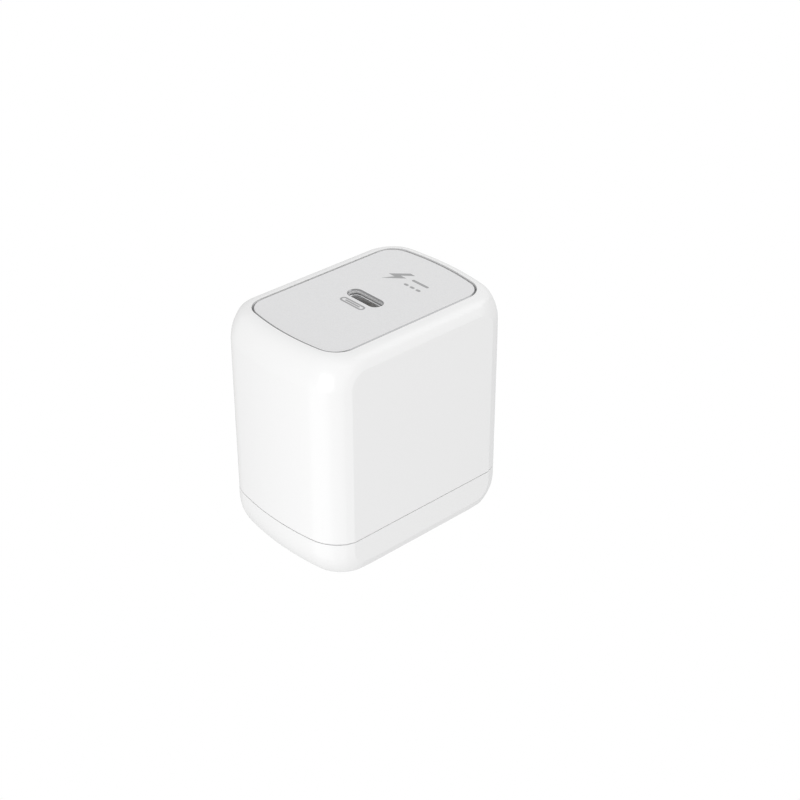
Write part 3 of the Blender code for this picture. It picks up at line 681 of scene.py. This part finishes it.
def ink(name, pads, rings=()):
    """Thin print on the plate: filled outlines, and strokes that follow closed outlines."""
    bm = bmesh.new()
    for outline in pads:
        add_loft(bm, [at_height(outline, z) for z in (INK_LOW, INK_HIGH)])
    for outline in rings:
        outer, inner = (inward(outline, side * STROKE / 2) for side in (-1, 1))
        loops = [(outer, INK_LOW), (outer, INK_HIGH), (inner, INK_HIGH), (inner, INK_LOW)]
        made = [[bm.verts.new(point) for point in at_height(loop, z)] for loop, z in loops]
        for lower, upper in zip(made, made[1:] + made[:1]):
            strip(bm, lower, upper)
    obj = object_from(name, bm)
    obj.data.materials.append(material("mark_ink"))
    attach(obj, ADAPTER)


def bar(x, y, half_x, half_y, steps=6):
    """A short stroke with round ends."""
    return [(x + px, y + py) for px, py in slot_outline(half_x, half_y, steps)]


def marks():
    """A bolt and a direct-current sign above the port, and the outline of a type-C mouth below it."""
    bolt = [(-1.6, 13.4), (-4.6, 10.3), (-2.9, 10.3), (-4.2, 8.0), (-0.6, 11.4), (-2.3, 11.4), (-0.2, 13.4)]
    line_y, dash_y, port_y, thin = 11.8, 9.6, -3.3, 0.32
    dashes = [bar(x, dash_y, 0.6, thin) for x in (1.3, 3.0, 4.7)]
    ink("mark_supply", pads=[*dashes, bolt, bar(3.0, line_y, 2.3, thin)])
    ink("mark_port", pads=[bar(0, port_y, 2.1, 0.2)], rings=[bar(0, port_y, 3.1, 0.6, steps=10)])


# ---------------------------------------------------------------- materials


def node(tree, kind, **inputs):
    made = tree.nodes.new(kind)
    for name, value in inputs.items():
        made.inputs[name].default_value = value
    return made


def grain(tree, scale, stretch):
    """Noise in object space, in metres."""
    place = tree.nodes.new("ShaderNodeTexCoord")
    mapping = node(tree, "ShaderNodeMapping", Scale=stretch)
    noise = node(tree, "ShaderNodeTexNoise", Scale=scale, Detail=3.0, Roughness=0.6)
    tree.links.new(place.outputs["Object"], mapping.inputs["Vector"])
    tree.links.new(mapping.outputs[0], noise.inputs["Vector"])
    return noise.outputs["Fac"]


def ramp(tree, factor, low, high, start=0.35, end=0.65):
    """The colours from low to high, as the factor goes from start to end."""
    made = tree.nodes.new("ShaderNodeValToRGB")
    stops = made.color_ramp.elements
    stops[0].position, stops[1].position = start, end
    stops[0].color, stops[1].color = (*low, 1), (*high, 1)
    tree.links.new(factor, made.inputs["Fac"])
    return made.outputs["Color"]


def finish(name, colour, spread=0.02, roughness=0.4, rough_spread=0.05, scale=2500.0, bump=0.02,
           metallic=0.0, coat=0.0, stretch=(1, 1, 1), bump_depth=0.00002):
    """A moulded, painted or metal surface: grain in its colour, its roughness and its height."""
    made = bpy.data.materials.new(name)
    made.use_nodes = True
    tree = made.node_tree
    surface = tree.nodes["Principled BSDF"]
    surface.inputs["Metallic"].default_value = metallic
    surface.inputs["Coat Weight"].default_value = coat
    surface.inputs["Coat Roughness"].default_value = 0.2
    noise = grain(tree, scale, stretch)
    low, high = ([min(1.0, c * (1 + sign * spread)) for c in colour] for sign in (-1, 1))
    tree.links.new(ramp(tree, noise, low, high), surface.inputs["Base Color"])
    rough = tree.nodes.new("ShaderNodeMapRange")
    rough.inputs["To Min"].default_value = roughness - rough_spread
    rough.inputs["To Max"].default_value = roughness + rough_spread
    tree.links.new(noise, rough.inputs["Value"])
    tree.links.new(rough.outputs["Result"], surface.inputs["Roughness"])
    height = node(tree, "ShaderNodeBump", Strength=bump, Distance=bump_depth)
    tree.links.new(noise, height.inputs["Height"])
    tree.links.new(height.outputs["Normal"], surface.inputs["Normal"])
    return made


RECIPES = {
    "white_shell": dict(colour=(0.86, 0.86, 0.86), spread=0.004, roughness=0.22, rough_spread=0.02,
                        scale=3500, bump=0.05),
    "grey_plate": dict(colour=(0.76, 0.76, 0.765), spread=0.035, roughness=0.5, scale=5200, bump=0.25),
    "plate_border": dict(colour=(0.3, 0.3, 0.305), spread=0.01, roughness=0.18, metallic=1.0, scale=3000),
    "mark_ink": dict(colour=(0.36, 0.36, 0.365), spread=0.02, roughness=0.5, scale=4000),
    "stainless_shell": dict(colour=(0.93, 0.93, 0.94), spread=0.03, roughness=0.32, metallic=0.6,
                            scale=2500, stretch=(1, 1, 0.15), bump=0.06),
    "contact_gold": dict(colour=(0.7, 0.62, 0.48), spread=0.02, roughness=0.22, metallic=1.0, scale=4000),
    "black_moulding": dict(colour=(0.16, 0.16, 0.162), roughness=0.5, scale=3000, bump=0.1),
    "circuit_board": dict(colour=(0.02, 0.16, 0.07), spread=0.15, roughness=0.38, scale=1800, coat=0.4),
    "carrier_plastic": dict(colour=(0.8, 0.8, 0.8), spread=0.006, roughness=0.45, scale=3000, bump=0.1),
    "plated_blade": dict(colour=(0.78, 0.76, 0.72), spread=0.02, roughness=0.2, metallic=1.0, scale=1500,
                         stretch=(1, 0.08, 1), bump=0.05),
    "spring_bronze": dict(colour=(0.75, 0.48, 0.27), spread=0.05, roughness=0.3, metallic=1.0, scale=2200),
    "lead_black": dict(colour=(0.02, 0.02, 0.02), roughness=0.5, scale=2500, bump=0.1),
    "lead_white": dict(colour=(0.75, 0.75, 0.74), roughness=0.5, scale=2500, bump=0.1),
    "ferrite": dict(colour=(0.05, 0.05, 0.055), spread=0.2, roughness=0.62, scale=4200, bump=0.3),
    "winding_tape": dict(colour=(0.78, 0.6, 0.12), spread=0.03, roughness=0.3, scale=900, coat=0.5,
                         stretch=(1, 6, 6), bump=0.1),
    "copper_wire": dict(colour=(0.72, 0.3, 0.1), spread=0.12, roughness=0.28, metallic=1.0, scale=700,
                        stretch=(8, 1, 1), bump=0.6, bump_depth=0.0002),
    "capacitor_sleeve": dict(colour=(0.03, 0.05, 0.1), spread=0.08, roughness=0.32, scale=1200, coat=0.4),
    "inductor_sleeve": dict(colour=(0.03, 0.03, 0.03), spread=0.1, roughness=0.35, scale=1200, coat=0.4),
    "film_box": dict(colour=(0.72, 0.55, 0.1), spread=0.05, roughness=0.42, scale=2600, bump=0.12),
    "blue_coating": dict(colour=(0.05, 0.17, 0.5), spread=0.08, roughness=0.34, scale=1400, bump=0.25,
                         coat=0.4),
    "black_coating": dict(colour=(0.04, 0.04, 0.042), spread=0.1, roughness=0.38, scale=1400, bump=0.25),
    "fuse_body": dict(colour=(0.3, 0.17, 0.08), spread=0.1, roughness=0.36, scale=1800, coat=0.3),
    "chip_package": dict(colour=(0.02, 0.02, 0.022), spread=0.2, roughness=0.55, scale=5000, bump=0.3),
    "bare_can": dict(colour=(0.72, 0.72, 0.74), spread=0.03, roughness=0.25, metallic=1.0, scale=1800,
                     stretch=(1, 0.1, 1), bump=0.06),
    "spreader_metal": dict(colour=(0.72, 0.72, 0.72), spread=0.04, roughness=0.32, metallic=1.0,
                           scale=1600, stretch=(1, 1, 0.06), bump=0.1),
    "film": dict(colour=(0.82, 0.62, 0.22), spread=0.03, roughness=0.22, scale=500, coat=0.6),
}

NODE_SLOTS = {
    "carrier_retainer": "carrier_plastic",
    "contact_spring_left": "spring_bronze",
    "contact_spring_right": "spring_bronze",
    "live_lead": "lead_black",
    "neutral_lead": "lead_white",
    "main_board": "circuit_board",
    "port_board": "circuit_board",
    "transformer_core_lower": "ferrite",
    "transformer_core_upper": "ferrite",
    "transformer_bobbin": "black_moulding",
    "transformer_winding": "winding_tape",
    "bulk_capacitor_1": "capacitor_sleeve",
    "bulk_capacitor_2": "capacitor_sleeve",
    "bulk_capacitor_3": "capacitor_sleeve",
    "choke_core": "ferrite",
    "choke_winding_lower": "copper_wire",
    "choke_winding_upper": "copper_wire",
    "filter_inductor": "inductor_sleeve",
    "x_capacitor": "film_box",
    "y_capacitor": "blue_coating",
    "varistor": "black_coating",
    "fuse": "fuse_body",
    "bridge_rectifier": "chip_package",
    "optocoupler": "chip_package",
    "power_switch": "chip_package",
    "primary_controller": "chip_package",
    "sync_rectifier": "chip_package",
    "port_controller": "chip_package",
    "output_capacitor_1": "bare_can",
    "output_capacitor_2": "bare_can",
    "heat_spreader": "spreader_metal",
    "insulating_film": "film",
}


def material(name):
    """The finish of that name, made once."""
    made = name + "_finish"
    return bpy.data.materials.get(made) or finish(made, **RECIPES[name])


def coat_whole(obj, slot):
    obj.data.materials.clear()
    obj.data.materials.append(material(slot))


def join_frame(obj, body, stands_for):
    """The body that a piece rides on and the frame's node that it stands for."""
    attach(obj, body)
    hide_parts(stands_for)


def finish_piece(obj, body, slot, stands_for):
    coat_whole(obj, slot)
    join_frame(obj, body, stands_for)


def paint_frame_nodes():
    for name, slot in NODE_SLOTS.items():
        coat_whole(frame["nodes"][name], slot)


# ---------------------------------------------------------------- stage


def camera():
    azimuth, elevation = CAMERA_AZIMUTH, CAMERA_ELEVATION
    right = Vector((math.cos(azimuth), math.sin(azimuth), 0))
    ahead = Vector((-math.sin(azimuth), math.cos(azimuth), 0))
    up = ahead * math.sin(elevation) + Vector((0, 0, math.cos(elevation)))
    back = right.cross(up)
    data = bpy.data.cameras.new("camera")
    data.lens = CAMERA_LENS
    data.sensor_width = CAMERA_SENSOR
    data.clip_start = 0.01
    obj = bpy.data.objects.new("camera", data)
    rotation = Matrix((right, up, back)).transposed().to_4x4()
    obj.matrix_world = Matrix.Translation(CAMERA_PLACE) @ rotation
    bpy.context.scene.collection.objects.link(obj)
    bpy.context.scene.camera = obj


def area_light(name, direction, size, power, diffuse):
    """A square soft box that faces the adapter."""
    data = bpy.data.lights.new(name, "AREA")
    data.shape = "SQUARE"
    data.size = size
    data.energy = power
    obj = bpy.data.objects.new(name, data)
    way = Vector(direction).normalized()
    obj.location = Vector(LIGHT_TARGET) + way * LIGHT_DISTANCE
    obj.rotation_euler = way.to_track_quat("Z", "Y").to_euler()
    obj.visible_camera = False
    obj.visible_diffuse = diffuse
    bpy.context.scene.collection.objects.link(obj)


def world():
    """White behind the object, and a softer light on it that is slightly dimmer from below."""
    made = bpy.data.worlds.new("studio")
    bpy.context.scene.world = made
    made.use_nodes = True
    tree = made.node_tree
    tree.nodes.clear()
    out = tree.nodes.new("ShaderNodeOutputWorld")
    place = tree.nodes.new("ShaderNodeTexCoord")
    split = tree.nodes.new("ShaderNodeSeparateXYZ")
    tree.links.new(place.outputs["Generated"], split.inputs[0])
    soft = tree.nodes.new("ShaderNodeBackground")
    shade_by_height = ramp(tree, split.outputs["Z"], (AMBIENT_LOW,) * 3, (AMBIENT_HIGH,) * 3, 0.0, 0.25)
    tree.links.new(shade_by_height, soft.inputs["Color"])
    white = node(tree, "ShaderNodeBackground", Color=(1, 1, 1, 1), Strength=1.0)
    path = tree.nodes.new("ShaderNodeLightPath")
    mix = tree.nodes.new("ShaderNodeMixShader")
    tree.links.new(path.outputs["Is Camera Ray"], mix.inputs["Fac"])
    tree.links.new(soft.outputs[0], mix.inputs[1])
    tree.links.new(white.outputs[0], mix.inputs[2])
    tree.links.new(mix.outputs[0], out.inputs["Surface"])


def floor():
    """A plain white floor that is seen but sends no light back."""
    bm = bmesh.new()
    outline = rectangle(-FLOOR_HALF, -FLOOR_HALF, FLOOR_HALF, FLOOR_HALF)
    bm.faces.new([bm.verts.new(point) for point in at_height(outline, FLOOR_LEVEL)])
    obj = object_from("floor", bm)
    made = bpy.data.materials.new("floor_white")
    made.use_nodes = True
    tree = made.node_tree
    tree.nodes.clear()
    glow = node(tree, "ShaderNodeEmission", Color=(1, 1, 1, 1), Strength=1.0)
    out = tree.nodes.new("ShaderNodeOutputMaterial")
    tree.links.new(glow.outputs[0], out.inputs["Surface"])
    obj.data.materials.append(made)
    for ray in ("diffuse", "glossy", "transmission", "volume_scatter", "shadow"):
        setattr(obj, "visible_" + ray, False)


def main():
    camera()
    world()
    for name, settings in LIGHTS.items():
        area_light(name, *settings)
    floor()
    housing()
    cap()
    plate()
    port()
    tongue()
    marks()
    for x, name in zip(BLADE_XS, ("left", "right")):
        blade(x, name)
    carrier()
    paint_frame_nodes()
    view = bpy.context.scene.view_settings
    view.view_transform, view.look = "Standard", "None"


main()
